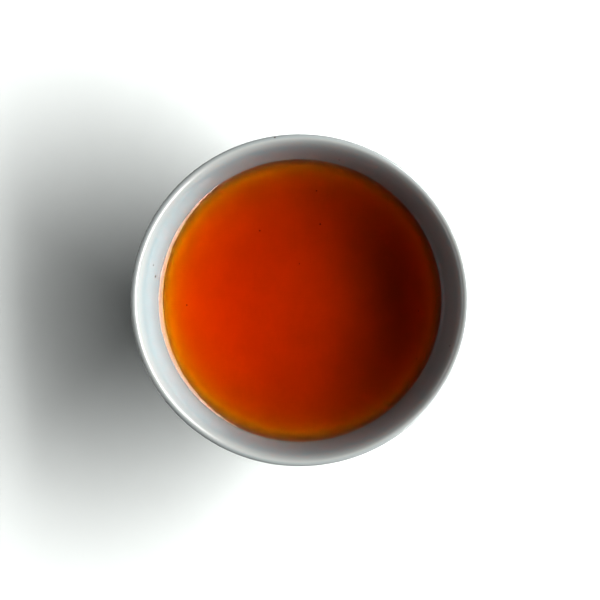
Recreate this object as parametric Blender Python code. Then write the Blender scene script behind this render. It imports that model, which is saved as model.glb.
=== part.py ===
"""A handleless cup of black tea: a porcelain cup with a flared lip on a foot ring, filled to below its lip.

The dimensions are in millimetres. The origin is the centre of the foot ring's underside, +Z points up
through the cup, and X runs along the longer diameter of the slightly oval rim.
"""

import math

import bmesh
import bpy

MM = 0.001
SEGMENTS = 80

# The cup as a whole
RIM_DIAMETER = 90.0
RIM_OVAL = 0.0103
CUP_HEIGHT = 56.0

# The lip. Inside the crest its face tilts more the further in it is: half of FLARE_LIMIT degrees at
# FLARE_HALF, and close to FLARE_LIMIT far in. Outside the crest it is a rounded edge.
CREST_RADIUS = 43.85
FLARE_LIMIT = 88.0
FLARE_HALF = 0.9
FLARE_REACH = 5.12
FLARE_STEPS = 9
LIP_OUTER_DROP = 1.5
LIP_OUTER_EXPONENT = 2.5
LIP_OUTER_STEPS = 5

# The bowl's inner and outer faces: superellipses that lean inwards as they go down
BOWL_EXPONENT = 5.0
BOWL_FLOOR_HEIGHT = 21.5
BOWL_STEPS = 16
OUTER_EXPONENT = 4.5
OUTER_FLOOR_HEIGHT = 9.5
OUTER_LEAN = 0.0052
OUTER_STEPS = 13

# The foot ring
FOOT_TOP_RADIUS = 24.6
FOOT_RADIUS = 23.7
FOOT_INNER_RADIUS = 19.9
FOOT_EDGE = 0.6
FOOT_RECESS = 10.5
RECESS_CORNER = 1.6
FILLET = 1.2

# The tea
TEA_LEVEL = 43.8
TEA_GAP = 0.3
MENISCUS_RISE = 1.4
MENISCUS_LENGTH = 2.4
MENISCUS_REACH = 7.0
MENISCUS_STEPS = 5
TEA_STEPS = 13


def leaning_superellipse(turn, width, top, floor, exponent, lean):
    """A point of a bowl's section, from turn 0 at its top edge to a quarter turn at the middle of its floor."""
    power = 2.0 / exponent
    drop = (top - floor) * math.sin(turn) ** power
    return width * max(math.cos(turn), 0.0) ** power * (1.0 - lean * drop), top - drop


def flare_slope(inwards):
    """How steeply the inner face falls this far in from the crest."""
    return math.tan(math.radians(FLARE_LIMIT * inwards / (inwards + FLARE_HALF)))


def flare_drop(inwards, slices=400):
    """How far below the crest the inner face is, this far in from it."""
    step = inwards / slices
    return sum(flare_slope((i + 0.5) * step) for i in range(slices)) * step


FLARE_RADIUS = CREST_RADIUS - FLARE_REACH
FLARE_HEIGHT = CUP_HEIGHT - flare_drop(FLARE_REACH)
BOWL_LEAN = 1.0 / (FLARE_RADIUS * flare_slope(FLARE_REACH))


def bowl_point(turn):
    """The inner face below the flare at this turn."""
    return leaning_superellipse(turn, FLARE_RADIUS, FLARE_HEIGHT, BOWL_FLOOR_HEIGHT, BOWL_EXPONENT, BOWL_LEAN)


def outer_point(turn):
    """The outer face at this turn."""
    top = CUP_HEIGHT - LIP_OUTER_DROP
    width = RIM_DIAMETER / 2
    return leaning_superellipse(turn, width, top, OUTER_FLOOR_HEIGHT, OUTER_EXPONENT, OUTER_LEAN)


def turn_where(still_before):
    """The turn at which this test of a turn stops being true, found by halving."""
    low, high = 0.0, math.pi / 2
    for _ in range(50):
        middle = (low + high) / 2
        if still_before(middle):
            low = middle
        else:
            high = middle
    return (low + high) / 2


def bowl_curve(first_turn, steps):
    """Points of the inner face from this turn to the middle of the floor, the last one left out."""
    return [
        bowl_point(first_turn + (math.pi / 2 - first_turn) * i / steps)
        for i in range(steps)
    ]


def moved_inwards(curve, distance):
    """The curve with every point moved at right angles towards the axis and the bowl's middle."""
    moved = []
    for i, (radius, height) in enumerate(curve):
        before = curve[max(i - 1, 0)]
        after = curve[min(i + 1, len(curve) - 1)]
        run = (after[0] - before[0], after[1] - before[1])
        length = math.hypot(*run)
        moved.append((radius + run[1] / length * distance, height - run[0] / length * distance))
    return moved


def cup_profile():
    """The cup's section as (radius, height), from the middle of the bowl's floor round to the underside."""
    inner = bowl_curve(0.0, BOWL_STEPS)
    points = [(0.0, BOWL_FLOOR_HEIGHT)] + inner[::-1]

    for i in range(FLARE_STEPS - 1, -1, -1):
        inwards = FLARE_REACH * i / FLARE_STEPS
        points.append((CREST_RADIUS - inwards, CUP_HEIGHT - flare_drop(inwards)))
    outer_reach = RIM_DIAMETER / 2 - CREST_RADIUS
    power = 2.0 / LIP_OUTER_EXPONENT
    for i in range(1, LIP_OUTER_STEPS + 1):
        turn = math.pi / 2 * i / LIP_OUTER_STEPS
        drop = LIP_OUTER_DROP * (1.0 - max(math.cos(turn), 0.0) ** power)
        points.append((CREST_RADIUS + outer_reach * math.sin(turn) ** power, CUP_HEIGHT - drop))

    last_turn = turn_where(lambda turn: outer_point(turn)[0] > FOOT_TOP_RADIUS + FILLET)
    points += [outer_point(last_turn * i / OUTER_STEPS) for i in range(1, OUTER_STEPS + 1)]
    points += [
        (FOOT_TOP_RADIUS, points[-1][1] - FILLET),
        (FOOT_RADIUS, FOOT_EDGE),
        (FOOT_RADIUS - FOOT_EDGE, 0.0),
        (FOOT_INNER_RADIUS + FOOT_EDGE, 0.0),
        (FOOT_INNER_RADIUS, FOOT_EDGE),
        (FOOT_INNER_RADIUS - RECESS_CORNER * 0.3, FOOT_RECESS - RECESS_CORNER * 0.7),
        (FOOT_INNER_RADIUS - RECESS_CORNER, FOOT_RECESS),
        (0.0, FOOT_RECESS),
    ]
    return points


def meniscus_rise(inwards):
    """How far the tea stands above its level, this far in from its edge."""
    end = math.exp(-MENISCUS_REACH / MENISCUS_LENGTH)
    return MENISCUS_RISE * (math.exp(-inwards / MENISCUS_LENGTH) - end) / (1.0 - end)


def tea_profile():
    """The tea's section, from the middle of its underside up along the bowl and in over its surface."""
    edge_height = TEA_LEVEL + MENISCUS_RISE
    edge_turn = turn_where(lambda turn: bowl_point(turn)[1] > edge_height)
    floor_middle = (0.0, BOWL_FLOOR_HEIGHT)
    wall = moved_inwards(bowl_curve(edge_turn, TEA_STEPS) + [floor_middle], TEA_GAP)
    edge_radius = wall[0][0]
    points = [(0.0, BOWL_FLOOR_HEIGHT + TEA_GAP)] + wall[-2:0:-1] + [(edge_radius, edge_height)]
    for i in range(1, MENISCUS_STEPS + 1):
        inwards = MENISCUS_REACH * (i / MENISCUS_STEPS) ** 1.5
        points.append((edge_radius - inwards, TEA_LEVEL + meniscus_rise(inwards)))
    points.append((0.0, TEA_LEVEL))
    return points


def oval_at(height):
    """How far the cup has gone from round to oval at this height: 0 at the tea's level, 1 at the rim."""
    share = (height - TEA_LEVEL) / (CUP_HEIGHT - TEA_LEVEL)
    share = min(max(share, 0.0), 1.0)
    return RIM_OVAL * share * share * (3.0 - 2.0 * share)


def revolved(name, profile, material):
    """One closed body: the profile turned about Z, with a single point wherever it meets the axis."""
    body = bmesh.new()
    rings = []
    for radius, height in profile:
        if radius < 1e-9:
            rings.append([body.verts.new((0.0, 0.0, height * MM))])
            continue
        oval = oval_at(height)
        ring = []
        for k in range(SEGMENTS):
            angle = 2.0 * math.pi * k / SEGMENTS
            x = radius * (1.0 + oval) * math.cos(angle)
            y = radius * (1.0 - oval) * math.sin(angle)
            ring.append(body.verts.new((x * MM, y * MM, height * MM)))
        rings.append(ring)
    for first, second in zip(rings, rings[1:]):
        for k in range(SEGMENTS):
            corners = [
                first[k % len(first)],
                first[(k + 1) % len(first)],
                second[(k + 1) % len(second)],
                second[k % len(second)],
            ]
            body.faces.new(list(dict.fromkeys(corners)))
    bmesh.ops.recalc_face_normals(body, faces=body.faces)
    mesh = bpy.data.meshes.new(name)
    body.to_mesh(mesh)
    body.free()
    mesh.shade_smooth()
    mesh.materials.append(material)
    node = bpy.data.objects.new(name, mesh)
    bpy.context.scene.collection.objects.link(node)
    return node


def principled(name, colour, roughness, transmission=0.0, ior=1.5):
    """A plain Principled material."""
    material = bpy.data.materials.new(name)
    material.use_nodes = True
    shader = material.node_tree.nodes["Principled BSDF"]
    shader.inputs["Base Color"].default_value = (*colour, 1.0)
    shader.inputs["Roughness"].default_value = roughness
    shader.inputs["Metallic"].default_value = 0.0
    shader.inputs["Transmission Weight"].default_value = transmission
    shader.inputs["IOR"].default_value = ior
    return material


def main():
    for obj in list(bpy.data.objects):
        bpy.data.objects.remove(obj, do_unlink=True)
    revolved("cup", cup_profile(), principled("glazed_porcelain", (0.66, 0.68, 0.68), 0.12))
    revolved("tea", tea_profile(), principled("black_tea", (0.56, 0.10, 0.01), 0.05, 0.0, 1.33))


main()
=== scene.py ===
"""A handleless porcelain cup of black tea, seen from above on a pale table, in soft light from the right.

Lengths are in millimetres unless a name says otherwise. The frame is the CAD model's: the origin is the
centre of the foot ring's underside, +Z points up, and X runs along the longer diameter of the rim.
"""

import math

import bpy
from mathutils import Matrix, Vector


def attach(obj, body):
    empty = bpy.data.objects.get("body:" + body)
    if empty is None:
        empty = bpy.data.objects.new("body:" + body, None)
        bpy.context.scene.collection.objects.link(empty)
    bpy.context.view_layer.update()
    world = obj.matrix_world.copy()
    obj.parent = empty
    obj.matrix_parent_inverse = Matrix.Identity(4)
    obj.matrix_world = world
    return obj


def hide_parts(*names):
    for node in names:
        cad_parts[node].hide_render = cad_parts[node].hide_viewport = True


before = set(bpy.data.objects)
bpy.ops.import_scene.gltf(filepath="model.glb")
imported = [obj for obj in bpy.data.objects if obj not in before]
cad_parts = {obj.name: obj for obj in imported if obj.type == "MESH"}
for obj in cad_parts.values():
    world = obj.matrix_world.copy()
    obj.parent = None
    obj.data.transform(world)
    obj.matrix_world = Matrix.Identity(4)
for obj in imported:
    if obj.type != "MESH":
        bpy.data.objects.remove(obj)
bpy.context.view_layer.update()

MM = 0.001

# The cup, as in the CAD model
RIM_DIAMETER = 90.0
RIM_OVAL = 0.0103
CUP_HEIGHT = 56.0

# The lip. Inside the crest its face tilts more the further in it is: half of FLARE_LIMIT degrees at
# FLARE_HALF, and close to FLARE_LIMIT far in. Outside the crest it is a rounded edge.
CREST_RADIUS = 43.85
FLARE_LIMIT = 88.0
FLARE_HALF = 0.9
FLARE_REACH = 5.12
LIP_OUTER_DROP = 1.5
LIP_OUTER_EXPONENT = 2.5

# The bowl's inner and outer faces: superellipses that lean inwards as they go down
BOWL_EXPONENT = 5.0
BOWL_FLOOR_HEIGHT = 21.5
OUTER_EXPONENT = 4.5
OUTER_FLOOR_HEIGHT = 9.5
OUTER_LEAN = 0.0052

# The foot ring. The glaze ends a little above the table, at a small step on either side of the ring.
FOOT_TOP_RADIUS = 24.6
FOOT_RADIUS = 23.7
FOOT_INNER_RADIUS = 19.9
FOOT_EDGE = 0.6
FOOT_RECESS = 10.5
RECESS_CORNER = 1.6
RECESS_TAPER = 0.2
FILLET = 1.2
GLAZE_END_HEIGHT = 1.2
GLAZE_END_STEP = 0.02
RECESS_END_STEP = 0.05

# The tea. Surface tension draws its edge up the wall, a little further and wider than water's.
TEA_LEVEL = 43.8
MENISCUS_RISE = 1.55
CAPILLARY_LENGTH = 3.0
MENISCUS_STEPS = 44
MENISCUS_END = 0.004
TEA_INTO_WALL = 0.25
TEA_SURFACE_RINGS = 14

# How finely the surfaces are drawn
TURNS = 256
WALL_SPACING = 0.8
DRY_WALL_SPACING = 0.45
LIP_SPACING = 0.3
LIP_EDGE_SPACING = 0.18
OUTSIDE_SPACING = 0.6
RECESS_SPACING = 2.0
CORNER_STEPS = 6
EASED_REACH = 0.9
FLARE_SLICES = 4000
TRACE_STEPS = 1500
HALVINGS = 60
ON_AXIS = 1e-6

# The slots of the cup's materials
OUTSIDE_SLOT = 0
WET_SLOT = 1
BARE_SLOT = 2
WALL_SLOT = 3

# The glaze's colours, and the heights between which one goes over to another
GLAZE_COOL = (0.346, 0.369, 0.373)
GLAZE_WARM = (0.369, 0.385, 0.381)
GLAZE_POOLED = (0.300, 0.338, 0.354)
GLAZE_THIN = (0.400, 0.408, 0.400)
# The wall above the tea: a bluer tint painted to cancel the tea's red light reflected and bounced onto it
WALL_TINT_AGAINST_TEA_LIGHT_COOL = (0.308, 0.368, 0.380)
WALL_TINT_AGAINST_TEA_LIGHT_WARM = (0.325, 0.376, 0.384)
GLAZE_STAINED = (0.420, 0.300, 0.255)
# The glaze under the tea, painted about twice as light as the same glaze outside, which brightens the tea
# seen over it
GLAZE_UNDER_TEA_PAINTED_BRIGHT_COOL = (0.770, 0.760, 0.700)
GLAZE_UNDER_TEA_PAINTED_BRIGHT_WARM = (0.820, 0.800, 0.730)
POOLED_MOST_BELOW = 3.0
POOLED_BELOW = 16.0
POOLED_SHARE = 0.55
THIN_ABOVE = 54.6
THIN_SHARE = 0.35
WALL_THIN_ABOVE = 53.0
# Below this height the glaze under the tea has its full painted brightness
PAINTED_BRIGHT_BELOW = 37.0

# The glaze's gloss and its slightly uneven surface
GLAZE_IOR = 1.5
GLAZE_ROUGHNESS = (0.06, 0.13)
WAVE_DEPTH = 0.05
PEEL_DEPTH = 0.004
WAVINESS_UNDER_TEA = 0.5

# Dark specks: the two on the left of the wall as (place, radius), and how dense and large the others are
SPECK_COLOUR = (0.16, 0.14, 0.12)
WALL_SPECKS = (((-39.28, 6.48, 48.59), 0.24), ((-39.6, 9.46, 50.94), 0.15))
SPECK_SOFTNESS = 1.8
SPECK_CELLS_PER_METRE = 120.0
SPECK_REACH_IN_CELL = (0.016, 0.034)

# The bare foot ring
BARE_PALE = (0.68, 0.64, 0.57)
BARE_DARK = (0.52, 0.47, 0.41)
BARE_ROUGHNESS = (0.68, 0.86)
GRAIN_RANGE = (0.2, 0.8)
GRAIN_SHARE = 0.35
GRAIN_DEPTH = 0.05
RUBBED_RANGE = (0.52, 0.72)
RUBBED_SHARE = 0.5

# The tea's colour by depth, and its surface
TEA_ABSORBED_PER_MM = (0.0062, 0.042, 0.30)
TEA_IOR = 1.333
TEA_FILM = 0.22
TEA_ROUGHNESS = (0.0, 0.012)
TEA_DULLED_RANGE = (0.35, 0.7)
RIPPLE_DEPTH = 0.01

# The table
TABLE_SIDE = 8000.0
TABLE_COLOUR = (0.750, 0.765, 0.755)
TABLE_DARKENED = 0.985
TABLE_ROUGHNESS = (0.42, 0.5)

# The noises that vary all these: the size of their features, and how much finer detail they carry
GLAZE_CLOUDS = (26.0, 3.0)
INSIDE_CLOUDS = (22.0, 3.0)
GLAZE_GLOSS = (7.0, 4.0)
GLAZE_WAVES = (14.0, 1.0)
GLAZE_PEEL = (1.6, 1.0)
BARE_GRAIN = (0.35, 3.0)
BARE_RUBBED = (5.0, 4.0)
TEA_DULLED = (9.0, 3.0)
TEA_RIPPLE = (30.0, 0.0)
TABLE_MOTTLES = (60.0, 4.0)
TABLE_GLOSS = (8.0, 3.0)

# The part of a noise's range that is spread over the whole of what it varies
NOISE_RANGE = (0.3, 0.7)

# The colour sockets of a mixing node: both inputs and the output
MIX_FIRST = 6
MIX_SECOND = 7
MIX_RESULT = 2

# Lights, camera and tone
KEY_AZIMUTH = 3.9
KEY_ELEVATION = 46.0
KEY_DISTANCE = 927.0
KEY_WIDTH = 1700.0
KEY_HEIGHT = 430.0
KEY_WATTS = 31.2
FILL_AZIMUTH = 180.0
FILL_ELEVATION = 14.0
FILL_DISTANCE = 950.0
FILL_WIDTH = 1400.0
FILL_HEIGHT = 300.0
FILL_WATTS = 5.0
WORLD_STRENGTH = 0.001
CAMERA_DISTANCE = 400.0
CAMERA_SHIFT_Y = -4.4
SENSOR = 36.0
FRAME_PIXELS = 600
RIM_PIXELS = 337.35
VIEW_GAMMA = 0.56
VIEW_EXPOSURE = 0.0


def leaning_superellipse(turn, width, top, floor, exponent, lean):
    """A point of a bowl's section: turn 0 is its top edge, a quarter turn the middle of its floor."""
    power = 2.0 / exponent
    drop = (top - floor) * math.sin(turn) ** power
    return width * max(math.cos(turn), 0.0) ** power * (1.0 - lean * drop), top - drop


def flare_slope(inwards):
    """How steeply the inner face falls this far in from the crest."""
    return math.tan(math.radians(FLARE_LIMIT * inwards / (inwards + FLARE_HALF)))


def flare_curve():
    """Points of the inner face as (radius, height), from the crest down to where the bowl takes over."""
    step = FLARE_REACH / FLARE_SLICES
    curve = [(CREST_RADIUS, CUP_HEIGHT)]
    for i in range(FLARE_SLICES):
        radius, height = curve[-1]
        curve.append((radius - step, height - flare_slope((i + 0.5) * step) * step))
    return curve


FLARE_RADIUS, FLARE_HEIGHT = flare_curve()[-1]
BOWL_LEAN = 1.0 / (FLARE_RADIUS * flare_slope(FLARE_REACH))


def bowl_point(turn):
    """The inner face below the flare at this turn."""
    return leaning_superellipse(turn, FLARE_RADIUS, FLARE_HEIGHT, BOWL_FLOOR_HEIGHT, BOWL_EXPONENT, BOWL_LEAN)


def outer_point(turn):
    """The outer face at this turn."""
    top = CUP_HEIGHT - LIP_OUTER_DROP
    return leaning_superellipse(turn, RIM_DIAMETER / 2, top, OUTER_FLOOR_HEIGHT, OUTER_EXPONENT, OUTER_LEAN)


def lip_edge_point(turn):
    """The lip's outer edge, from turn 0 at the crest to a quarter turn at the rim's widest."""
    power = 2.0 / LIP_OUTER_EXPONENT
    out = math.sin(turn) ** power
    up = max(math.cos(turn), 0.0) ** power
    reach = RIM_DIAMETER / 2 - CREST_RADIUS
    return CREST_RADIUS + reach * out, CUP_HEIGHT - LIP_OUTER_DROP * (1.0 - up)


def turn_where(still_before):
    """The turn at which this test of a turn stops being true, found by halving."""
    low, high = 0.0, math.pi / 2
    for _ in range(HALVINGS):
        middle = (low + high) / 2
        if still_before(middle):
            low = middle
        else:
            high = middle
    return (low + high) / 2


def evenly_spaced(curve, spacing):
    """Points along the curve, the same distance apart, with both its ends."""
    along = [0.0]
    for a, b in zip(curve, curve[1:]):
        along.append(along[-1] + math.dist(a, b))
    count = max(2, math.ceil(along[-1] / spacing))
    points, i = [], 0
    for k in range(count + 1):
        wanted = along[-1] * k / count
        while i < len(along) - 2 and along[i + 1] < wanted:
            i += 1
        share = (wanted - along[i]) / (along[i + 1] - along[i])
        points.append(tuple(a + (b - a) * share for a, b in zip(curve[i], curve[i + 1])))
    return points


def traced(point_at, first, last, spacing):
    """The curve point_at between two turns, evenly spaced."""
    turns = [first + (last - first) * i / TRACE_STEPS for i in range(TRACE_STEPS + 1)]
    return evenly_spaced([point_at(turn) for turn in turns], spacing)


def eased(curve, corner, reach):
    """The curve with the slight corner at this point turned into a smooth bend."""
    middle = min(range(len(curve)), key=lambda i: math.dist(curve[i], corner))
    first = max(i for i in range(middle) if math.dist(curve[i], corner) >= reach)
    last = min(i for i in range(middle, len(curve)) if math.dist(curve[i], corner) >= reach)
    bend = []
    for i in range(first + 1, last):
        t = (i - first) / (last - first)
        weights = ((1 - t) ** 2, 2 * t * (1 - t), t * t)
        ends = (curve[first], corner, curve[last])
        bend.append(tuple(sum(w * p[axis] for w, p in zip(weights, ends)) for axis in (0, 1)))
    return curve[: first + 1] + bend + curve[last:]


def rounded(before, corner, after, radius):
    """An arc of this radius that takes the place of the corner between two straight lines."""
    corner = Vector(corner)
    one = (Vector(before) - corner).normalized()
    two = (Vector(after) - corner).normalized()
    half = one.angle(two) / 2
    reach = radius / math.tan(half)
    centre = corner + (one + two).normalized() * radius / math.sin(half)
    start, end = corner + one * reach - centre, corner + two * reach - centre
    sweep = start.angle(end)
    arc = []
    for i in range(CORNER_STEPS + 1):
        share = i / CORNER_STEPS
        point = (start * math.sin((1 - share) * sweep) + end * math.sin(share * sweep)) / math.sin(sweep)
        arc.append(tuple(centre + point))
    return arc


def foot_profile(shoulder):
    """The foot's three parts, from the outer face's end inwards: glazed top, bare ring and recess."""
    root = (FOOT_TOP_RADIUS, shoulder[1] - FILLET)
    outside = (FOOT_RADIUS, 0.0)
    inside = (FOOT_INNER_RADIUS, 0.0)
    recess_corner = (FOOT_INNER_RADIUS - RECESS_TAPER, FOOT_RECESS)
    recess_middle = (0.0, FOOT_RECESS)
    glazed = evenly_spaced([root, (FOOT_RADIUS + GLAZE_END_STEP, GLAZE_END_HEIGHT)], WALL_SPACING)
    bare = rounded(root, outside, inside, FOOT_EDGE)
    bare += rounded(outside, inside, recess_corner, FOOT_EDGE)
    recess = [(FOOT_INNER_RADIUS - RECESS_END_STEP, GLAZE_END_HEIGHT)]
    recess += rounded(inside, recess_corner, recess_middle, RECESS_CORNER)
    recess += evenly_spaced([recess[-1], recess_middle], RECESS_SPACING)[1:]
    return glazed, bare, recess


def contact_turn():
    """The turn of the bowl at which the tea's edge touches it."""
    return turn_where(lambda turn: bowl_point(turn)[1] > TEA_LEVEL + MENISCUS_RISE)


def cup_profile():
    """The cup's section as (radius, height, material slot), from the bowl's floor round to the underside."""
    wet_turn = contact_turn()
    wet = traced(bowl_point, math.pi / 2, wet_turn, WALL_SPACING)
    dry = traced(bowl_point, wet_turn, 0.0, DRY_WALL_SPACING)
    lip = evenly_spaced(flare_curve()[::-1], LIP_SPACING)[1:]
    lip += traced(lip_edge_point, 0.0, math.pi / 2, LIP_EDGE_SPACING)[1:]
    outer_corner = lip[-1]
    last_turn = turn_where(lambda turn: outer_point(turn)[0] > FOOT_TOP_RADIUS + FILLET)
    outside = traced(outer_point, 0.0, last_turn, OUTSIDE_SPACING)[1:]
    above = eased(dry + lip + outside, outer_corner, EASED_REACH)
    crest = above.index(max(above, key=lambda point: point[1]))
    glazed, bare, recess = foot_profile(outside[-1])
    bands = (
        (wet[:-1], WET_SLOT),
        (above[:crest], WALL_SLOT),
        (above[crest:] + glazed[:-1], OUTSIDE_SLOT),
        (glazed[-1:] + bare, BARE_SLOT),
        (recess, OUTSIDE_SLOT),
    )
    return [(radius, height, slot) for points, slot in bands for radius, height in points]


def meniscus():
    """The curve of the tea's edge, as (distance in from the wall, height above the level)."""
    def distance(height):
        ratio = 2 * CAPILLARY_LENGTH / height
        return CAPILLARY_LENGTH * (math.acosh(ratio) - 2 * math.sqrt(1 - 1 / ratio**2))
    edge = distance(MENISCUS_RISE)
    shrink = (MENISCUS_END / MENISCUS_RISE) ** (1 / MENISCUS_STEPS)
    heights = [MENISCUS_RISE * shrink**i for i in range(MENISCUS_STEPS + 1)]
    return [(distance(height) - edge, height) for height in heights]


def tea_profile():
    """The tea's section, from the middle of its underside up inside the wall and in over its surface."""
    edge_radius, edge_height = bowl_point(contact_turn())
    wall = traced(bowl_point, math.pi / 2, contact_turn(), WALL_SPACING)
    points = [(0.0, BOWL_FLOOR_HEIGHT - TEA_INTO_WALL)]
    for before, here, after in zip(wall, wall[1:], wall[2:]):
        run = Vector(after) - Vector(before)
        outwards = Vector((run[1], -run[0])).normalized() * TEA_INTO_WALL
        points.append(tuple(Vector(here) + outwards))
    slope = math.acos(1 - (MENISCUS_RISE / CAPILLARY_LENGTH) ** 2 / 2)
    points.append((edge_radius + TEA_INTO_WALL, edge_height + TEA_INTO_WALL * math.tan(slope)))
    surface = [(edge_radius - inwards, TEA_LEVEL + height) for inwards, height in meniscus()]
    last = surface[-1][0]
    rings = [(last * (1 - i / TEA_SURFACE_RINGS), TEA_LEVEL) for i in range(1, TEA_SURFACE_RINGS + 1)]
    return [(radius, height, 0) for radius, height in points + surface + rings]


def oval_at(height):
    """How far the cup has gone from round to oval at this height: 0 at the tea's level, 1 at the rim."""
    share = (height - TEA_LEVEL) / (CUP_HEIGHT - TEA_LEVEL)
    share = min(max(share, 0.0), 1.0)
    return RIM_OVAL * share * share * (3.0 - 2.0 * share)


def revolved(name, profile, materials):
    """The profile turned about Z. Each of its points names the material slot of the band after it."""
    points, rings = [], []
    for radius, height, _ in profile:
        oval = oval_at(height)
        count = TURNS if radius > ON_AXIS else 1
        rings.append(range(len(points), len(points) + count))
        for k in range(count):
            angle = 2.0 * math.pi * k / TURNS
            x = radius * (1.0 + oval) * math.cos(angle)
            y = radius * (1.0 - oval) * math.sin(angle)
            points.append((x * MM, y * MM, height * MM))
    faces, slots = [], []
    for (first, second), (_, _, slot) in zip(zip(rings, rings[1:]), profile):
        for k in range(TURNS):
            after = (k + 1) % TURNS
            corners = [
                first[k % len(first)],
                second[k % len(second)],
                second[after % len(second)],
                first[after % len(first)],
            ]
            faces.append(list(dict.fromkeys(corners))[::-1])
            slots.append(slot)
    mesh = bpy.data.meshes.new(name)
    mesh.from_pydata(points, [], faces)
    mesh.polygons.foreach_set("material_index", slots)
    mesh.shade_smooth()
    for material in materials:
        mesh.materials.append(material)
    piece = bpy.data.objects.new(name, mesh)
    bpy.context.scene.collection.objects.link(piece)
    return piece


class Nodes:
    """A material's node tree with short ways to add to it."""

    def __init__(self, name):
        self.material = bpy.data.materials.new(name)
        self.material.use_nodes = True
        self.tree = self.material.node_tree
        self.shader = self.tree.nodes["Principled BSDF"]
        self.place = self.add("ShaderNodeTexCoord").outputs["Object"]

    def add(self, kind, inputs=None, **settings):
        """A node of this kind. An input is a number, a colour or another node's output."""
        node = self.tree.nodes.new(kind)
        for setting, value in settings.items():
            setattr(node, setting, value)
        self.feed(node, inputs or {})
        return node

    def feed(self, node, inputs):
        """Links or sets these inputs of the node."""
        for socket, value in inputs.items():
            if isinstance(value, bpy.types.NodeSocket):
                self.tree.links.new(value, node.inputs[socket])
            elif isinstance(value, tuple) and node.inputs[socket].type == "RGBA":
                node.inputs[socket].default_value = (*value, 1.0)
            else:
                node.inputs[socket].default_value = value

    def height(self):
        """The height above the table, in metres."""
        return self.add("ShaderNodeSeparateXYZ", {0: self.place}).outputs["Z"]

    def noise(self, size, detail):
        """Cloudy noise whose features are about this size, with this much finer detail."""
        inputs = {"Vector": self.place, "Scale": 1.0 / (size * MM), "Detail": detail}
        return self.add("ShaderNodeTexNoise", inputs).outputs["Fac"]

    def spread(self, value, low, high, to_low=0.0, to_high=1.0):
        """The value's range low to high, smoothly brought to another range."""
        inputs = {"Value": value, "From Min": low, "From Max": high, "To Min": to_low, "To Max": to_high}
        return self.add("ShaderNodeMapRange", inputs, interpolation_type="SMOOTHSTEP").outputs["Result"]

    def maths(self, operation, *values):
        """The result of this operation on these values."""
        return self.add("ShaderNodeMath", dict(enumerate(values)), operation=operation).outputs["Value"]

    def mixed(self, share, first, second):
        """The first colour gone over to the second by this share."""
        inputs = {"Factor": share, MIX_FIRST: first, MIX_SECOND: second}
        return self.add("ShaderNodeMix", inputs, data_type="RGBA").outputs[MIX_RESULT]

    def clouded(self, clouds, first, second):
        """One colour going over to another in these clouds."""
        return self.mixed(self.spread(self.noise(*clouds), *NOISE_RANGE), first, second)

    def bump(self, height, depth, under=None):
        """A surface raised by this height times the depth, on top of another bump if there is one."""
        inputs = {"Height": height, "Distance": depth * MM, "Strength": 1.0}
        if under is not None:
            inputs["Normal"] = under
        return self.add("ShaderNodeBump", inputs).outputs["Normal"]


def specked(nodes, colour):
    """The colour with tiny dark iron specks: a few scattered ones and two on the left of the wall."""
    cells = nodes.add("ShaderNodeTexVoronoi", {"Vector": nodes.place, "Scale": SPECK_CELLS_PER_METRE})
    found = nodes.spread(cells.outputs["Distance"], *SPECK_REACH_IN_CELL, 1.0, 0.0)
    for place, radius in WALL_SPECKS:
        inputs = {0: nodes.place, 1: tuple(part * MM for part in place)}
        away = nodes.add("ShaderNodeVectorMath", inputs, operation="DISTANCE").outputs["Value"]
        spot = nodes.spread(away, radius * MM, radius * SPECK_SOFTNESS * MM, 1.0, 0.0)
        found = nodes.maths("MAXIMUM", found, spot)
    return nodes.mixed(found, colour, SPECK_COLOUR)


def grey_glaze(nodes):
    """Cool pale grey glaze with faint clouds, bluer where it has pooled low down and paler on the lip."""
    height = nodes.height()
    colour = nodes.clouded(GLAZE_CLOUDS, GLAZE_COOL, GLAZE_WARM)
    pooled = nodes.spread(height, POOLED_MOST_BELOW * MM, POOLED_BELOW * MM, POOLED_SHARE, 0.0)
    colour = nodes.mixed(pooled, colour, GLAZE_POOLED)
    thin = nodes.spread(height, THIN_ABOVE * MM, CUP_HEIGHT * MM, 0.0, THIN_SHARE)
    return specked(nodes, nodes.mixed(thin, colour, GLAZE_THIN))


def wall_glaze_painted_against_tea_light(nodes):
    """The glaze on the wall above the tea: bluer than outside, a tint painted to cancel the tea's red light
    that is reflected and bounced onto the wall; paler at the lip.
    """
    colour = nodes.clouded(GLAZE_CLOUDS, WALL_TINT_AGAINST_TEA_LIGHT_COOL, WALL_TINT_AGAINST_TEA_LIGHT_WARM)
    thin = nodes.spread(nodes.height(), WALL_THIN_ABOVE * MM, CUP_HEIGHT * MM)
    return specked(nodes, nodes.mixed(thin, colour, GLAZE_THIN))


def under_tea_glaze_painted_bright(nodes):
    """The glaze inside the bowl: stained near the tea's edge, and deeper down painted about twice as light as
    the glaze outside, which brightens the tea seen over it.
    """
    colour = nodes.clouded(INSIDE_CLOUDS, GLAZE_UNDER_TEA_PAINTED_BRIGHT_COOL, GLAZE_UNDER_TEA_PAINTED_BRIGHT_WARM)
    stained = nodes.spread(nodes.height(), PAINTED_BRIGHT_BELOW * MM, (TEA_LEVEL + MENISCUS_RISE) * MM)
    return specked(nodes, nodes.mixed(stained, colour, GLAZE_STAINED))


def glaze(name, colour, ior, waviness):
    """Glossy fired glaze. Its surface is very slightly uneven, as it set from a liquid."""
    nodes = Nodes(name)
    gloss = nodes.spread(nodes.noise(*GLAZE_GLOSS), *NOISE_RANGE, *GLAZE_ROUGHNESS)
    waves = nodes.bump(nodes.noise(*GLAZE_WAVES), WAVE_DEPTH * waviness)
    peel = nodes.bump(nodes.noise(*GLAZE_PEEL), PEEL_DEPTH * waviness, waves)
    nodes.feed(nodes.shader, {"Base Color": colour(nodes), "IOR": ior, "Roughness": gloss, "Normal": peel})
    return nodes.material


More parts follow.
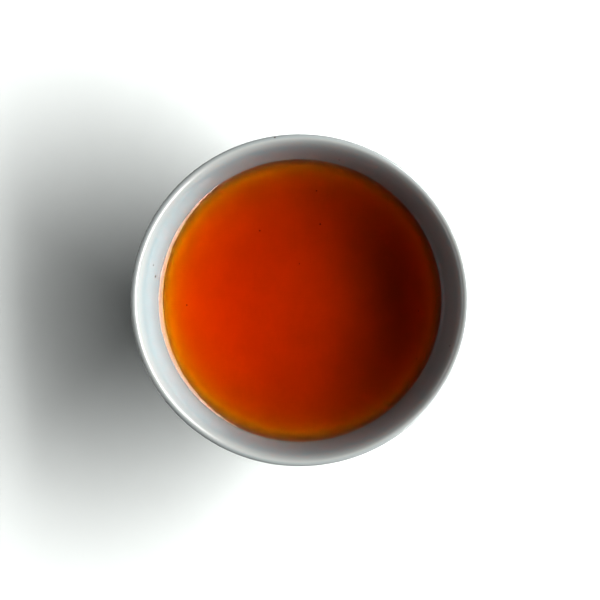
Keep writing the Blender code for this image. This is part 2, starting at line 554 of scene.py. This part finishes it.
def bare_porcelain():
    """The unglazed foot ring: matt, fine-grained, a little warmer, rubbed grey in places."""
    nodes = Nodes("bare_porcelain")
    grain = nodes.noise(*BARE_GRAIN)
    rubbed = nodes.spread(nodes.noise(*BARE_RUBBED), *RUBBED_RANGE)
    share = nodes.maths("MULTIPLY_ADD", grain, GRAIN_SHARE, nodes.maths("MULTIPLY", rubbed, RUBBED_SHARE))
    inputs = {
        "Base Color": nodes.mixed(share, BARE_PALE, BARE_DARK),
        "Roughness": nodes.spread(grain, *GRAIN_RANGE, *BARE_ROUGHNESS),
        "IOR": GLAZE_IOR,
        "Normal": nodes.bump(grain, GRAIN_DEPTH),
    }
    nodes.feed(nodes.shader, inputs)
    return nodes.material


def black_tea():
    """Clear brown-red tea that takes light up by its depth, with a thin film on its barely uneven top."""
    nodes = Nodes("clear_black_tea")
    most = max(TEA_ABSORBED_PER_MM)
    colour = tuple(1.0 - part / most for part in TEA_ABSORBED_PER_MM)
    inside = nodes.add("ShaderNodeVolumeAbsorption", {"Color": colour, "Density": most / MM})
    nodes.feed(nodes.tree.nodes["Material Output"], {"Volume": inside.outputs[0]})
    inputs = {
        "Base Color": (1.0, 1.0, 1.0),
        "Transmission Weight": 1.0,
        "IOR": TEA_IOR,
        "Roughness": nodes.spread(nodes.noise(*TEA_DULLED), *TEA_DULLED_RANGE, *TEA_ROUGHNESS),
        "Normal": nodes.bump(nodes.noise(*TEA_RIPPLE), RIPPLE_DEPTH),
        "Coat Weight": TEA_FILM,
        "Coat Roughness": 0.0,
    }
    nodes.feed(nodes.shader, inputs)
    return nodes.material


def table_top():
    """A pale satin table top with the faintest mottling."""
    nodes = Nodes("table_top")
    darker = tuple(part * TABLE_DARKENED for part in TABLE_COLOUR)
    inputs = {
        "Base Color": nodes.clouded(TABLE_MOTTLES, TABLE_COLOUR, darker),
        "Roughness": nodes.spread(nodes.noise(*TABLE_GLOSS), *NOISE_RANGE, *TABLE_ROUGHNESS),
    }
    nodes.feed(nodes.shader, inputs)
    return nodes.material


def make_cup():
    """The glazed cup, with one material for each part of its surface."""
    materials = [
        glaze("porcelain_glaze", grey_glaze, GLAZE_IOR, 1.0),
        glaze("glaze_under_tea", under_tea_glaze_painted_bright, GLAZE_IOR / TEA_IOR, WAVINESS_UNDER_TEA),
        bare_porcelain(),
        glaze("wall_glaze_painted_against_tea_light", wall_glaze_painted_against_tea_light, GLAZE_IOR, 1.0),
    ]
    cup = revolved("cup_glazed", cup_profile(), materials)
    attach(cup, "root")
    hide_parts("cup")


def make_tea():
    """The liquid in the cup."""
    tea = revolved("tea_liquid", tea_profile(), [black_tea()])
    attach(tea, "root")
    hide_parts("tea")


def make_table():
    """The flat table top that the cup stands on."""
    half = TABLE_SIDE / 2 * MM
    corners = [(-half, -half, 0), (half, -half, 0), (half, half, 0), (-half, half, 0)]
    mesh = bpy.data.meshes.new("table_top")
    mesh.from_pydata(corners, [], [(0, 1, 2, 3)])
    mesh.materials.append(table_top())
    table = bpy.data.objects.new("table_top", mesh)
    bpy.context.scene.collection.objects.link(table)


def soft_light(name, azimuth, elevation, distance, width, height, watts):
    """A flat light of this size that faces the cup."""
    lamp = bpy.data.lights.new(name, "AREA")
    lamp.shape = "RECTANGLE"
    lamp.size = width * MM
    lamp.size_y = height * MM
    lamp.energy = watts
    turn, up = math.radians(azimuth), math.radians(elevation)
    away = Vector((math.cos(turn) * math.cos(up), math.sin(turn) * math.cos(up), math.sin(up)))
    light = bpy.data.objects.new(name, lamp)
    light.location = away * distance * MM
    light.rotation_euler = (-away).to_track_quat("-Z", "Y").to_euler()
    bpy.context.scene.collection.objects.link(light)


def make_lights():
    """A wide soft light from the right, a weak one from the left, and hardly any light from around."""
    soft_light("key", KEY_AZIMUTH, KEY_ELEVATION, KEY_DISTANCE, KEY_WIDTH, KEY_HEIGHT, KEY_WATTS)
    soft_light("fill", FILL_AZIMUTH, FILL_ELEVATION, FILL_DISTANCE, FILL_WIDTH, FILL_HEIGHT, FILL_WATTS)
    world = bpy.data.worlds.new("soft_room")
    world.use_nodes = True
    background = world.node_tree.nodes["Background"]
    background.inputs["Color"].default_value = (1.0, 1.0, 1.0, 1.0)
    background.inputs["Strength"].default_value = WORLD_STRENGTH
    bpy.context.scene.world = world


def make_camera():
    """A camera that looks almost straight down at the rim, so that the rim is RIM_PIXELS wide."""
    camera = bpy.data.cameras.new("camera")
    camera.sensor_width = SENSOR
    camera.lens = SENSOR * RIM_PIXELS / FRAME_PIXELS * CAMERA_DISTANCE / RIM_DIAMETER
    holder = bpy.data.objects.new("camera", camera)
    place = Vector((0.0, CAMERA_SHIFT_Y, CUP_HEIGHT + CAMERA_DISTANCE)) * MM
    target = Vector((0.0, 0.0, CUP_HEIGHT)) * MM
    holder.location = place
    holder.rotation_euler = (math.atan2(target.y - place.y, place.z - target.z), 0.0, 0.0)
    bpy.context.scene.collection.objects.link(holder)
    bpy.context.scene.camera = holder


def set_tone():
    """The view's tone, with strong contrast."""
    scene = bpy.context.scene
    scene.cycles.use_denoising = True
    scene.view_settings.view_transform = "Standard"
    scene.view_settings.gamma = VIEW_GAMMA
    scene.view_settings.exposure = VIEW_EXPOSURE


make_cup()
make_tea()
make_table()
make_lights()
make_camera()
set_tone()
